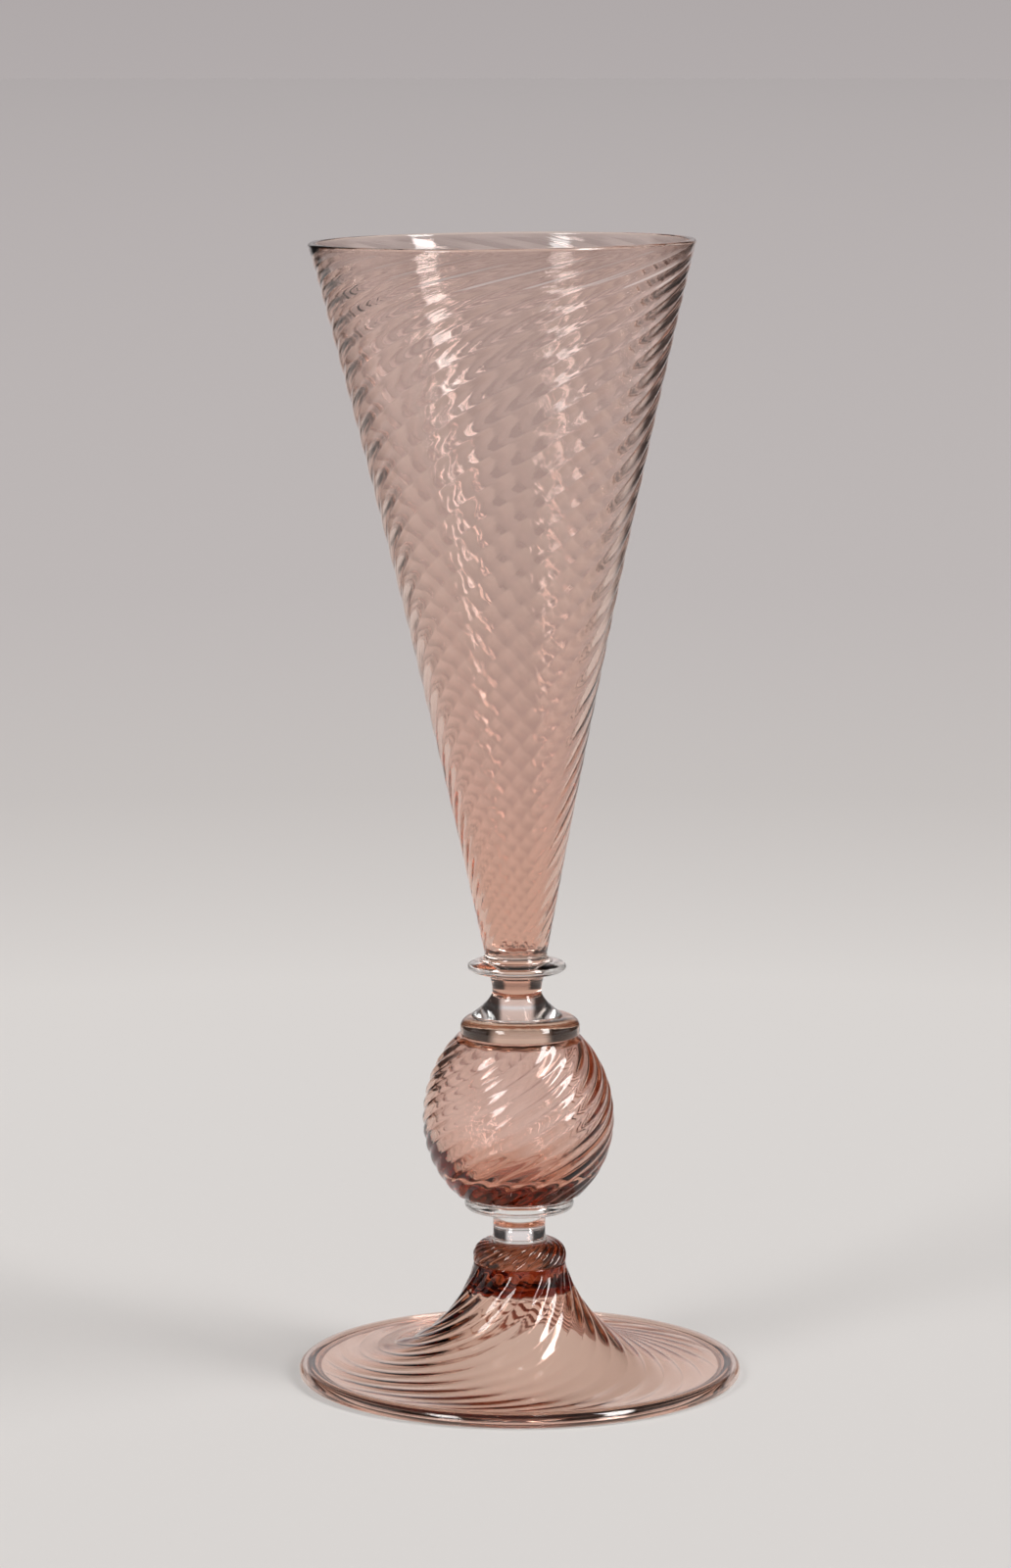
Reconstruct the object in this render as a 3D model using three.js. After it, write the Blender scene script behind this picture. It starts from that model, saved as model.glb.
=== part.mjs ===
// A tall stemmed glass, blown and joined hot from eight gathers of glass.
// Millimetres, +Z up, with the origin at the centre of the ring the foot stands on.
import * as THREE from 'three';

// Foot: a trumpet with twisted ribs, hollow underneath, its edge folded into a bead.
const footRadius = 54.6;
const footHeight = 28.6;
const footNeckRadius = 11.3;
const footWall = 1.9;
const footSolidDepth = 5.0; // solid glass between the hollow and the collar
const footBeadWidth = 5.0;
const footBeadHeight = 3.8;
const footBeadStep = 0.4; // how far the bead stands above the disc
const footThroatDrop = 9.1; // the steep stretch below the collar
const footThroatSpread = 2.3;
const footFlareWidth = 27.0; // the flat stretch inside the bead
const footFlareDip = 0.9;
const footHollowCrown = 2.6;

// Foot collar: a ribbed dome of coloured glass.
const footCollarHeight = 5.6;
const footCollarRadius = 11.55;
const footCollarSeatInset = 0.35;
const footCollarLip = 1.6; // height of the widest line above the seat
const footCollarCrownInset = 4.3;

// Lower spool: clear glass, a short neck under a round plate.
const lowerNeckRadius = 6.45;
const lowerNeckHeight = 6.8;
const lowerFootingWidth = 0.45; // the bead where the neck meets the collar
const lowerFootingHeight = 0.9;
const lowerPlateRadius = 13.5;
const lowerPlateHeight = 2.9;
const lowerPlateEdge = 1.1;
const lowerFillet = 1.1;

// Knop: a blown hollow ball with twisted ribs, open at the top where it left the pipe.
const knopRadius = 23.6;
const knopBelow = 19.7; // from the seat up to the widest line
const knopAbove = 21.1; // from the widest line up to the collar
const knopLowerReach = 24.8; // the ball's half height, were its lower half whole
const knopUpperReach = 27.0;
const knopWall = 1.7;
const knopFloor = 2.8;
const knopFloorRounding = 3.5;
const knopRoof = 2.0;
const knopPipeHoleRadius = 3.6;
const knopShoulder = 0.3; // rounding where the ball runs in under the collar
const knopShoulderInset = 0.5;
const knopHeel = 0.8; // rounding where the ball runs in over the plate
const knopHeelRadius = 13.2;

// Knop collar: a smooth flattened ring of coloured glass.
const knopCollarHeight = 4.6;
const knopCollarRadius = 14.75;
const knopCollarSeatInset = 0.25;
const knopCollarLip = 1.8;
const knopCollarCrownInset = 3.6;

// Upper spool: clear glass, a flaring base under a narrow waist and a thick round plate.
const upperBaseRadius = 11.2;
const upperBaseEdge = 0.2;
const upperFlareSpread = 0.55; // how soon the base flares out below the waist
const upperFlareRise = 3.6;
const upperWaistRadius = 6.05;
const upperWaistRise = 5.8; // from the seat up to the waist
const upperCupRise = 5.0; // from the waist up to the plate
const upperCupRadius = 7.8;
const upperPlateRadius = 12.15;
const upperPlateHeight = 2.9;
const upperPlateEdge = 3.1;

// Button: a coloured pad that flares down from the bowl onto the spool's plate.
const buttonRadius = 9.0;
const buttonHeight = 1.9;
const buttonEdge = 0.2;

// Bowl: a tall ribbed trumpet, hollow almost down to its foot.
const bowlHeight = 174;
const bowlBaseRadius = 7.7;
const bowlRimRadius = 47.0;
const bowlFlare = 0.12; // share of the widening that comes late, towards the rim
const bowlWall = 1.5;
const bowlWallThickening = 2.0; // what the wall gains from the rim down to the hollow's floor
const bowlWallBias = 3; // how much of that comes late, near the floor
const bowlSolidDepth = 1.5;
const bowlFloorRounding = 3;
const bowlLipHeight = 0.8;

// Ribs: one mould gives the bowl, the knop and the foot the same number of ribs.
const ribCount = 20;
const ribDepth = 0.55;
const ribFade = 5; // length over which ribs fade out at a rim
const bowlTurnPerMm = 2.55; // degrees of turn for each millimetre of height
const bowlExtraTurnBelow = 3.6;
const bowlExtraTurnAbove = 4.5;
const bowlTurnReachBelow = 17;
const bowlTurnReachAbove = 12;
const knopTurnPerMm = 4.6;
const footTurnPerMm = 3.6;
const collarTurnPerMm = 6.5;
const largestTurnStep = 12;

// Sway: how far each hot joint was set off the foot's axis, along X.
const lowerSpoolSway = -0.1;
const knopSway = -0.35;
const knopCollarSway = 0.1;
const upperSpoolSway = -0.7;
const buttonSway = -0.95;
const bowlLean = -3.4; // how far the rim's centre lies beyond the bowl's base
const bowlRimTilt = 0.65; // degrees

const smoothSegments = 36;
const ribSegments = 2 * ribCount;

// Levels of the joints, each worked out from the piece below it.
const footCollarSeat = footHeight;
const lowerSpoolSeat = footCollarSeat + footCollarHeight;
const knopSeat = lowerSpoolSeat + lowerNeckHeight + lowerFillet + lowerPlateHeight;
const knopCollarSeat = knopSeat + knopBelow + knopAbove;
const upperSpoolSeat = knopCollarSeat + knopCollarHeight;
const buttonSeat = upperSpoolSeat + upperWaistRise + upperCupRise + upperPlateHeight;
const bowlSeat = buttonSeat + buttonHeight;
const bowlTop = bowlSeat + bowlHeight;

// A ring of points for each station of an outline; a station on the axis is a single pole.
// Every second point of a ribbed station is pushed back by the station's groove.
function turned(stations, segments) {
  const points = [];
  const faces = [];
  const rings = stations.map(({ r, z, turn = 0, groove = [0, 0] }) => {
    const first = points.length / 3;
    const count = r > 0 ? segments : 1;
    for (let k = 0; k < count; k += 1) {
      const angle = (k / segments) * 2 * Math.PI + THREE.MathUtils.degToRad(turn);
      const [back, down] = k % 2 ? groove : [0, 0];
      points.push((r + back) * Math.cos(angle), (r + back) * Math.sin(angle), z + down);
    }
    return Array.from({ length: count }, (_, k) => first + k);
  });
  const at = (ring, k) => ring[k % ring.length];
  for (let i = 0; i + 1 < rings.length; i += 1) {
    const [low, high] = [rings[i], rings[i + 1]];
    const turnsOn = (stations[i + 1].turn ?? 0) > (stations[i].turn ?? 0);
    for (let k = 0; k < segments; k += 1) {
      const [a, b, c, d] = [at(low, k), at(low, k + 1), at(high, k + 1), at(high, k)];
      // The shorter diagonal leans back against the turn.
      const halves = turnsOn ? [[a, b, d], [b, c, d]] : [[a, b, c], [a, c, d]];
      faces.push(...halves.filter((face) => new Set(face).size === 3).flat());
    }
  }
  const geometry = new THREE.BufferGeometry();
  geometry.setAttribute('position', new THREE.Float32BufferAttribute(points, 3));
  geometry.setIndex(faces);
  geometry.computeVertexNormals();
  return geometry;
}

// A quarter of an ellipse from `from` to `to`, leaving `from` along the radius or upright.
function quarter(from, to, steps, leaves) {
  return Array.from({ length: steps + 1 }, (_, i) => {
    const angle = (i / steps) * (Math.PI / 2);
    const [fast, slow] = [Math.sin(angle), 1 - Math.cos(angle)];
    const [shareR, shareZ] = leaves === 'upright' ? [slow, fast] : [fast, slow];
    return { r: from.r + (to.r - from.r) * shareR, z: from.z + (to.z - from.z) * shareZ };
  });
}

// The rounded edge of a plate, from its lower face round to its upper face.
function plateEdge(radius, low, high, edge) {
  const middle = { r: radius, z: (low + high) / 2 };
  return [
    ...quarter({ r: radius - edge, z: low }, middle, 3, 'radial'),
    ...quarter(middle, { r: radius - edge, z: high }, 3, 'upright').slice(1),
  ];
}

// Adds ribs to an outline: grooves square to the surface, winding by a turn for each station.
function ribbed(outline, turnAt, weightAt, depth = ribDepth) {
  return outline.map((point, i) => {
    const before = outline[Math.max(i - 1, 0)];
    const after = outline[Math.min(i + 1, outline.length - 1)];
    const along = new THREE.Vector2(after.r - before.r, after.z - before.z).normalize();
    const cut = depth * weightAt(point);
    return { ...point, turn: turnAt(point, i), groove: [-along.y * cut, along.x * cut] };
  });
}

// Length run along an outline up to each of its points.
function runs(outline) {
  let total = 0;
  return outline.map((point, i) => {
    if (i > 0) total += Math.hypot(point.r - outline[i - 1].r, point.z - outline[i - 1].z);
    return total;
  });
}

function footGeometry() {
  const discTop = footBeadHeight - footBeadStep;
  const beadInner = footRadius - footBeadWidth;
  const trumpet = new THREE.CubicBezierCurve(
    new THREE.Vector2(beadInner, discTop),
    new THREE.Vector2(beadInner - footFlareWidth, discTop - footFlareDip),
    new THREE.Vector2(footNeckRadius + footThroatSpread, footHeight - footThroatDrop),
    new THREE.Vector2(footNeckRadius, footHeight),
  );
  const outline = trumpet.getSpacedPoints(16).map(({ x, y }) => ({ r: x, z: y }));
  const length = runs(outline);
  const total = length[length.length - 1];
  const fade = (i) => Math.min(1, length[i] / ribFade, (total - length[i]) / (ribFade / 2));
  const outside = ribbed(
    outline,
    (point, i) => length[i] * footTurnPerMm,
    (point) => fade(outline.indexOf(point)),
  );

  const crown = footHeight - footSolidDepth;
  const underside = trumpet.getSpacedPoints(16).map(({ x, y }, i) => {
    const normal = trumpet.getTangentAt(i / 16);
    return { r: x - normal.y * footWall, z: y + normal.x * footWall };
  }).filter(({ z }) => z < crown - footHollowCrown).reverse();
  const hollow = quarter({ r: 0, z: crown }, underside[0], 4, 'radial');

  const beadMiddle = footRadius - footBeadWidth / 2;
  const edge = footBeadWidth / 2 - 0.9;
  const bead = [
    { r: beadMiddle - 0.9, z: 0 },
    ...plateEdge(footRadius, 0, footBeadHeight, edge),
    { r: beadMiddle - 0.9, z: footBeadHeight },
  ];
  return turned([...hollow, ...underside.slice(1), ...bead, ...outside,
    { r: 0, z: footHeight, turn: 0 }], ribSegments);
}

// A collar: a flat seat, a short flare out to the widest line and a domed crown.
function collarOutline(seat, height, radius, seatInset, lip, crownInset) {
  const widest = { r: radius, z: seat + lip };
  return [
    ...quarter({ r: radius - seatInset, z: seat }, widest, 2, 'radial'),
    ...quarter(widest, { r: radius - crownInset, z: seat + height }, 5, 'upright').slice(1),
  ];
}

function footCollarGeometry() {
  const outline = collarOutline(footCollarSeat, footCollarHeight, footCollarRadius,
    footCollarSeatInset, footCollarLip, footCollarCrownInset);
  const length = runs(outline);
  const total = length[length.length - 1];
  const side = ribbed(
    outline,
    (point, i) => length[i] * collarTurnPerMm,
    (point) => Math.min(1, (total - length[outline.indexOf(point)]) / (total / 2)),
  );
  side[0].groove[1] = 0;
  return turned([{ r: 0, z: footCollarSeat }, ...side, { r: 0, z: lowerSpoolSeat }], ribSegments);
}

function lowerSpoolGeometry() {
  const plateLow = knopSeat - lowerPlateHeight;
  const filletLow = plateLow - lowerFillet;
  return turned([
    { r: 0, z: lowerSpoolSeat },
    ...plateEdge(lowerNeckRadius + lowerFootingWidth, lowerSpoolSeat,
      lowerSpoolSeat + lowerFootingHeight, lowerFootingWidth),
    ...quarter({ r: lowerNeckRadius, z: filletLow },
      { r: lowerNeckRadius + lowerFillet, z: plateLow }, 3, 'upright'),
    ...plateEdge(lowerPlateRadius, plateLow, knopSeat, lowerPlateEdge),
    { r: 0, z: knopSeat },
  ], smoothSegments);
}

function knopGeometry() {
  const middle = knopSeat + knopBelow;
  const ball = (z, radius, below, above) => {
    const reach = z < middle ? below : above;
    return radius * Math.sqrt(Math.max(0, 1 - ((z - middle) / reach) ** 2));
  };
  const outerTop = knopCollarSeat - knopShoulder;
  const steps = Math.ceil(((outerTop - knopSeat) * knopTurnPerMm) / largestTurnStep);
  const outline = Array.from({ length: steps + 1 }, (_, i) => {
    const z = i > 0 ? THREE.MathUtils.lerp(knopSeat + knopHeel, outerTop, (i - 1) / (steps - 1)) : knopSeat;
    return { r: ball(z, knopRadius, knopLowerReach, knopUpperReach), z };
  });
  const outside = ribbed(
    outline,
    ({ z }) => (z - knopSeat) * knopTurnPerMm,
    ({ z }) => Math.min(1, 0.4 + (z - knopSeat) / ribFade, 0.2 + (outerTop - z) / ribFade),
  );
  outside[0].r = knopHeelRadius;
  outside[0].groove = [0, 0];
  const turn = outside[steps].turn;

  const roof = knopCollarSeat - knopRoof;
  const floor = knopSeat + knopFloor;
  const innerRadius = knopRadius - knopWall;
  const hollowSteps = 10;
  const hollow = Array.from({ length: hollowSteps }, (_, i) => {
    const z = THREE.MathUtils.lerp(roof, floor + knopFloorRounding, i / (hollowSteps - 1));
    return { r: ball(z, innerRadius, knopLowerReach - knopWall, knopUpperReach - knopWall), z, turn };
  });
  const hollowFloor = quarter({ r: 0, z: floor }, hollow[hollowSteps - 1], 3, 'radial').reverse().slice(1);
  return turned([
    { r: 0, z: knopSeat },
    ...outside,
    { r: outline[steps].r - knopShoulderInset, z: knopCollarSeat, turn },
    { r: knopPipeHoleRadius, z: knopCollarSeat, turn },
    { r: knopPipeHoleRadius, z: roof, turn },
    ...hollow,
    ...hollowFloor.map((point) => ({ ...point, turn })),
  ], ribSegments);
}

function knopCollarGeometry() {
  return turned([
    { r: 0, z: knopCollarSeat },
    ...collarOutline(knopCollarSeat, knopCollarHeight, knopCollarRadius,
      knopCollarSeatInset, knopCollarLip, knopCollarCrownInset),
    { r: 0, z: upperSpoolSeat },
  ], smoothSegments);
}

function upperSpoolGeometry() {
  const waist = { r: upperWaistRadius, z: upperSpoolSeat + upperWaistRise };
  const plateLow = buttonSeat - upperPlateHeight;
  const flare = new THREE.QuadraticBezierCurve(
    new THREE.Vector2(upperBaseRadius, upperSpoolSeat + upperBaseEdge),
    new THREE.Vector2(waist.r + upperFlareSpread, upperSpoolSeat + upperFlareRise),
    new THREE.Vector2(waist.r, waist.z),
  );
  return turned([
    { r: 0, z: upperSpoolSeat },
    { r: upperBaseRadius - upperBaseEdge, z: upperSpoolSeat },
    ...flare.getSpacedPoints(7).map(({ x, y }) => ({ r: x, z: y })),
    ...quarter(waist, { r: upperCupRadius, z: plateLow }, 4, 'upright').slice(1),
    ...plateEdge(upperPlateRadius, plateLow, buttonSeat, upperPlateEdge),
    { r: 0, z: buttonSeat },
  ], smoothSegments);
}

function buttonGeometry() {
  return turned([
    { r: 0, z: buttonSeat },
    { r: buttonRadius - buttonEdge, z: buttonSeat },
    ...quarter({ r: buttonRadius, z: buttonSeat + buttonEdge }, { r: bowlBaseRadius, z: bowlSeat },
      5, 'radial'),
    { r: 0, z: bowlSeat },
  ], smoothSegments);
}

function bowlGeometry() {
  const radiusAt = (z) => {
    const share = (z - bowlSeat) / bowlHeight;
    const widening = (1 - bowlFlare) * share + bowlFlare * share ** 2;
    return THREE.MathUtils.lerp(bowlBaseRadius, bowlRimRadius, widening);
  };
  const turnRateAt = (z) => bowlTurnPerMm
    + bowlExtraTurnBelow * Math.exp((bowlSeat - z) / bowlTurnReachBelow)
    + bowlExtraTurnAbove * Math.exp((z - bowlTop) / bowlTurnReachAbove);
  const lipLow = bowlTop - bowlLipHeight;

  // Rings stand closer together where the ribs turn faster.
  const outline = [{ r: radiusAt(bowlSeat), z: bowlSeat, turn: 0 }];
  for (let z = bowlSeat; z < lipLow;) {
    const rate = turnRateAt(z + largestTurnStep / turnRateAt(z) / 2);
    const next = Math.min(z + largestTurnStep / rate, lipLow);
    const { turn } = outline[outline.length - 1];
    outline.push({ r: radiusAt(next), z: next, turn: turn + (next - z) * rate });
    z = next;
  }
  const outside = ribbed(
    outline,
    (point) => point.turn,
    ({ z }) => Math.min(1, (lipLow - z) / ribFade),
  );
  outside[0].groove[1] = 0;
  const { turn } = outline[outline.length - 1];

  const floor = bowlSeat + bowlSolidDepth;
  const wallAt = (z) => bowlWall
    + bowlWallThickening * ((bowlTop - z) / (bowlTop - floor)) ** bowlWallBias;
  const lipInner = bowlRimRadius - bowlWall;
  const lipTop = { r: (bowlRimRadius + lipInner) / 2, z: bowlTop, turn };
  const innerSteps = 8;
  const inside = Array.from({ length: innerSteps + 1 }, (_, i) => {
    const z = THREE.MathUtils.lerp(lipLow, floor + bowlFloorRounding, i / innerSteps);
    return { r: radiusAt(z) - wallAt(z), z, turn };
  });
  const lowest = inside[innerSteps];
  const hollowFloor = quarter({ r: 0, z: floor }, lowest, 3, 'radial').reverse().slice(1);
  const geometry = turned([
    { r: 0, z: bowlSeat },
    ...outside,
    lipTop,
    ...inside,
    ...hollowFloor.map((point) => ({ ...point, turn })),
  ], ribSegments);
  leanOver(geometry);
  return geometry;
}

// The bowl leans and its rim tips, both growing from nothing at the seat.
function leanOver(geometry) {
  const position = geometry.getAttribute('position');
  const tip = Math.tan(THREE.MathUtils.degToRad(bowlRimTilt));
  for (let i = 0; i < position.count; i += 1) {
    const [x, z] = [position.getX(i), position.getZ(i)];
    const share = (z - bowlSeat) / bowlHeight;
    position.setX(i, x + bowlLean * share);
    position.setZ(i, z + tip * x * share);
  }
}

function glass(color, roughness) {
  return new THREE.MeshStandardMaterial({ color, roughness, metalness: 0 });
}

const pieces = [
  { name: 'foot', geometry: footGeometry(), color: '#c4917f', roughness: 0.05, sway: 0 },
  { name: 'foot_collar', geometry: footCollarGeometry(), color: '#8a4630', roughness: 0.05, sway: 0 },
  { name: 'lower_spool', geometry: lowerSpoolGeometry(), color: '#dfe0dc', roughness: 0.03,
    sway: lowerSpoolSway },
  { name: 'knop', geometry: knopGeometry(), color: '#c08d7c', roughness: 0.05, sway: knopSway },
  { name: 'knop_collar', geometry: knopCollarGeometry(), color: '#a5644c', roughness: 0.04,
    sway: knopCollarSway },
  { name: 'upper_spool', geometry: upperSpoolGeometry(), color: '#dedcd6', roughness: 0.03,
    sway: upperSpoolSway },
  { name: 'bowl_button', geometry: buttonGeometry(), color: '#c07a60', roughness: 0.04,
    sway: buttonSway },
  { name: 'bowl', geometry: bowlGeometry(), color: '#c49a8e', roughness: 0.05, sway: buttonSway },
];

const stemmedGlass = new THREE.Group();
for (const { name, geometry, color, roughness, sway } of pieces) {
  const mesh = new THREE.Mesh(geometry, glass(color, roughness));
  mesh.name = name;
  mesh.position.x = sway;
  stemmedGlass.add(mesh);
}

export default stemmedGlass;
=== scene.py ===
import math

import bmesh
import bpy
from mathutils import Matrix, Vector


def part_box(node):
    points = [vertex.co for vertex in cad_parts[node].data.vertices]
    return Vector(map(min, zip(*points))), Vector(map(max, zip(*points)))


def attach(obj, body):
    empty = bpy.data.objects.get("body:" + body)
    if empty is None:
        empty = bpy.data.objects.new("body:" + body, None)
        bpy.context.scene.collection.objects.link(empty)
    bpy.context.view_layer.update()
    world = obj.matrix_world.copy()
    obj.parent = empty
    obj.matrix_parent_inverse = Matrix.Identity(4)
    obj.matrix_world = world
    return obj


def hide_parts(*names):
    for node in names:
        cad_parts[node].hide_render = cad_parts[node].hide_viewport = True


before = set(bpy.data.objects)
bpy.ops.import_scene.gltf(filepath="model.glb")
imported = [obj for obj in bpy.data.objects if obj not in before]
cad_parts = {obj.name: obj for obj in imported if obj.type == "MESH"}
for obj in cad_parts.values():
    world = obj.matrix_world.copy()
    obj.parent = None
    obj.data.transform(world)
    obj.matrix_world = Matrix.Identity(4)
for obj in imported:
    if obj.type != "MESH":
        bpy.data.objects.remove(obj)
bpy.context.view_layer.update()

mm = 0.001
jointGap = 0.01 * mm  # left open on each side of a joint, so that two faces never coincide
mergeReach = 0.001 * mm


def lerp(start, end, share):
    return start + (end - start) * share


def station(r, z, turn=0.0, ridge=0.0, fused=False, soft=0.0):
    # A point of an outline: where it is, how far it is twisted, how deep and how soft its ribs are
    return {"r": r, "z": z, "turn": turn, "ridge": ridge, "fused": fused, "soft": soft}


def arc(centre, reach, start, end, steps):
    # Part of an ellipse in the outline plane, angles in degrees from outward
    points = []
    for i in range(steps + 1):
        angle = math.radians(lerp(start, end, i / steps))
        r, z = centre[0] + reach[0] * math.cos(angle), centre[1] + reach[1] * math.sin(angle)
        points.append(station(r, z))
    return points


def plateEdge(radius, low, high, edge, steps):
    # The rounded outer edge of a flat plate
    middle = (low + high) / 2
    return arc((radius - edge, middle), (edge, (high - low) / 2), -90, 90, steps)


def runs(outline):
    # Length along the outline up to each of its points
    total = [0.0]
    for before, after in zip(outline, outline[1:]):
        total.append(total[-1] + math.hypot(after["r"] - before["r"], after["z"] - before["z"]))
    return total


# One mould gives bowl, knop and foot the same ribs
ribs = {"count": 20, "columns": 12, "flatness": 1.8, "crowding": 0.72}
ribColumns = ribs["count"] * ribs["columns"]
roundColumns = 160  # round the pieces that have no ribs


def ridgeShape(phase, softness):
    # 1 on a ridge, 0 in a groove; broad flat ridges meet in narrow grooves, soft ones make an even wave
    sharp = 1 - (1 - abs(math.cos(phase / 2))) ** ribs["flatness"]
    return lerp(sharp, math.cos(phase / 2) ** 2, softness)


def crowded(angle):
    # Columns of the mesh stand closer together in the grooves, so that these stay sharp
    return angle + ribs["crowding"] * math.sin(ribs["count"] * angle) / ribs["count"]


def outlineNormals(outline):
    # Directions out of the glass, in the outline plane
    normals = []
    for i in range(len(outline)):
        before = outline[max(i - 1, 0)]
        after = outline[min(i + 1, len(outline) - 1)]
        along = Vector((after["r"] - before["r"], after["z"] - before["z"]))
        if along.length > 0:
            along.normalize()
        normals.append((along.y, -along.x))
    return normals


flowLength = 150 * mm  # height over which the fine streaks change as much as over a radian


def spinPiece(name, outline, centre, steps):
    # The outline runs from the seat's centre round the outside, so its normals point out of the glass
    mesh = bmesh.new()
    keys = ("turn", "ridge", "outR", "outZ", "fused", "soft")
    layers = {key: mesh.verts.layers.float.new(key) for key in keys}
    flow = mesh.verts.layers.float_vector.new("flow")
    verts = []
    for point, normal in zip(outline, outlineNormals(outline)):
        vert = mesh.verts.new((point["r"], 0, point["z"]))
        vert[layers["turn"]] = math.radians(point["turn"])
        vert[layers["ridge"]] = point["ridge"]
        vert[layers["soft"]] = point["soft"]
        vert[layers["outR"]], vert[layers["outZ"]] = normal
        vert[layers["fused"]] = float(point["fused"])
        verts.append(vert)
    for before, after in zip(verts, verts[1:]):
        mesh.edges.new((before, after))
    # A quarter is spun and copied three times, which is far quicker than a whole spin
    bmesh.ops.spin(
        mesh, geom=mesh.verts[:] + mesh.edges[:], cent=(0, 0, 0), axis=(0, 0, 1), dvec=(0, 0, 0),
        angle=math.tau / 4, steps=steps // 4, use_merge=False, use_duplicate=False,
    )
    quarter = mesh.verts[:] + mesh.edges[:] + mesh.faces[:]
    for turns in (1, 2, 3):
        copied = bmesh.ops.duplicate(mesh, geom=quarter)["geom"]
        moved = [item for item in copied if isinstance(item, bmesh.types.BMVert)]
        rotation = Matrix.Rotation(turns * math.tau / 4, 3, "Z")
        bmesh.ops.rotate(mesh, verts=moved, cent=(0, 0, 0), matrix=rotation)
    bmesh.ops.remove_doubles(mesh, verts=mesh.verts[:], dist=mergeReach)
    for vert in mesh.verts:
        x, y, z = vert.co
        r = math.hypot(x, y)
        if r < mergeReach:
            vert.co = (0, 0, z)
            continue
        angle = crowded(math.atan2(y, x))
        cut = vert[layers["ridge"]] * (1 - ridgeShape(ribs["count"] * angle, vert[layers["soft"]]))
        r -= vert[layers["outR"]] * cut
        z -= vert[layers["outZ"]] * cut
        # where the vertex would be on an untwisted piece, so that fine streaks follow the ribs
        vert[flow] = (math.cos(angle), math.sin(angle), z / flowLength)
        angle += vert[layers["turn"]]
        vert.co = (r * math.cos(angle), r * math.sin(angle), z)
    bmesh.ops.remove_doubles(mesh, verts=mesh.verts[:], dist=mergeReach)
    bmesh.ops.recalc_face_normals(mesh, faces=mesh.faces[:])
    fusedFace = mesh.faces.layers.float.new("joined")
    for face in mesh.faces:
        face.smooth = True
        face[fusedFace] = min(vert[layers["fused"]] for vert in face.verts)
    bmesh.ops.translate(mesh, verts=mesh.verts[:], vec=centre)
    for layer in layers.values():
        mesh.verts.layers.float.remove(layer)
    data = bpy.data.meshes.new(name)
    mesh.to_mesh(data)
    mesh.free()
    piece = bpy.data.objects.new(name, data)
    bpy.context.scene.collection.objects.link(piece)
    print(name, len(data.polygons), "faces")
    return piece


def axisOf(node):
    low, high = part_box(node)
    return Vector(((low.x + high.x) / 2, (low.y + high.y) / 2, 0))


def seatOf(node):
    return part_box(node)[0].z


def topOf(node):
    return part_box(node)[1].z


def finishPiece(piece, node, material):
    piece.data.materials.append(material)
    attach(piece, "root")
    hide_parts(node)
    return piece


def bezier(points, share):
    a, b, c, d = (Vector(p) for p in points)
    s = 1 - share
    return a * s**3 + b * (3 * s * s * share) + c * (3 * s * share * share) + d * share**3


def bezierTangent(points, share):
    a, b, c, d = (Vector(p) for p in points)
    s = 1 - share
    return ((b - a) * (s * s) + (c - b) * (2 * s * share) + (d - c) * (share * share)).normalized()


def colourRamp(nodes, links, value, stops):
    # A colour that changes evenly between stops, each a value and the colour there
    low, high = stops[0][0], stops[-1][0]
    spread = nodes.new("ShaderNodeMapRange")
    spread.inputs["From Min"].default_value = low
    spread.inputs["From Max"].default_value = high
    links.new(value, spread.inputs["Value"])
    ramp = nodes.new("ShaderNodeValToRGB")
    links.new(spread.outputs["Result"], ramp.inputs["Fac"])
    elements = ramp.color_ramp.elements
    elements.remove(elements[1])
    for i, (reading, colour) in enumerate(stops):
        position = (reading - low) / (high - low)
        element = elements[0] if i == 0 else elements.new(position)
        element.position = position
        element.color = (*colour, 1)
    return ramp.outputs["Color"]


def heightRamp(nodes, links, stops):
    # A colour that changes with the height on the piece
    place = nodes.new("ShaderNodeTexCoord")
    parts = nodes.new("ShaderNodeSeparateXYZ")
    links.new(place.outputs["Object"], parts.inputs["Vector"])
    return colourRamp(nodes, links, parts.outputs["Z"], stops)


# Tint is what a wall lets through whatever its thickness; bodyColour and density colour the depth.
# A recipe with "joined" has faces where its piece is melted into the next one.
roseBowl = {
    "name": "rose_bowl_glass",
    # height above the table in metres, tint
    "tints": [
        (0.106, (0.927, 0.748, 0.673)), (0.124, (0.929, 0.752, 0.68)), (0.148, (0.929, 0.775, 0.722)),
        (0.196, (0.945, 0.831, 0.785)), (0.243, (0.957, 0.857, 0.823)), (0.28, (0.9, 0.797, 0.761)),
    ],
    "bodyColour": (0.86, 0.43, 0.2),
    "density": 60,
    "ripple": 2.2,  # times as deep as the streaks of the other pieces
    "joined": True,
}
roseKnop = {
    "name": "rose_knop_glass",
    "tint": (1.0, 0.925, 0.925),
    "bodyColour": (0.73, 0.3, 0.02),
    "density": 150,
}
roseFoot = {
    "name": "rose_foot_glass",
    "tint": (0.99, 0.935, 0.918),
    "bodyColour": (0.73, 0.3, 0.02),
    "density": 160,
}
deepRose = {
    "name": "deep_rose_glass",
    "tint": (0.97, 0.92, 0.9),
    "bodyColour": (0.66, 0.27, 0.02),
    "density": 115,
}
ringRose = {
    "name": "ring_rose_glass",
    "tint": (0.985, 0.93, 0.9),
    "bodyColour": (0.66, 0.3, 0.02),
    "density": 26,
}
clear = {
    "name": "clear_glass",
    "tint": (0.99, 0.99, 0.985),
    "bodyColour": (0.8, 0.85, 0.8),
    "density": 4,
}
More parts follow.
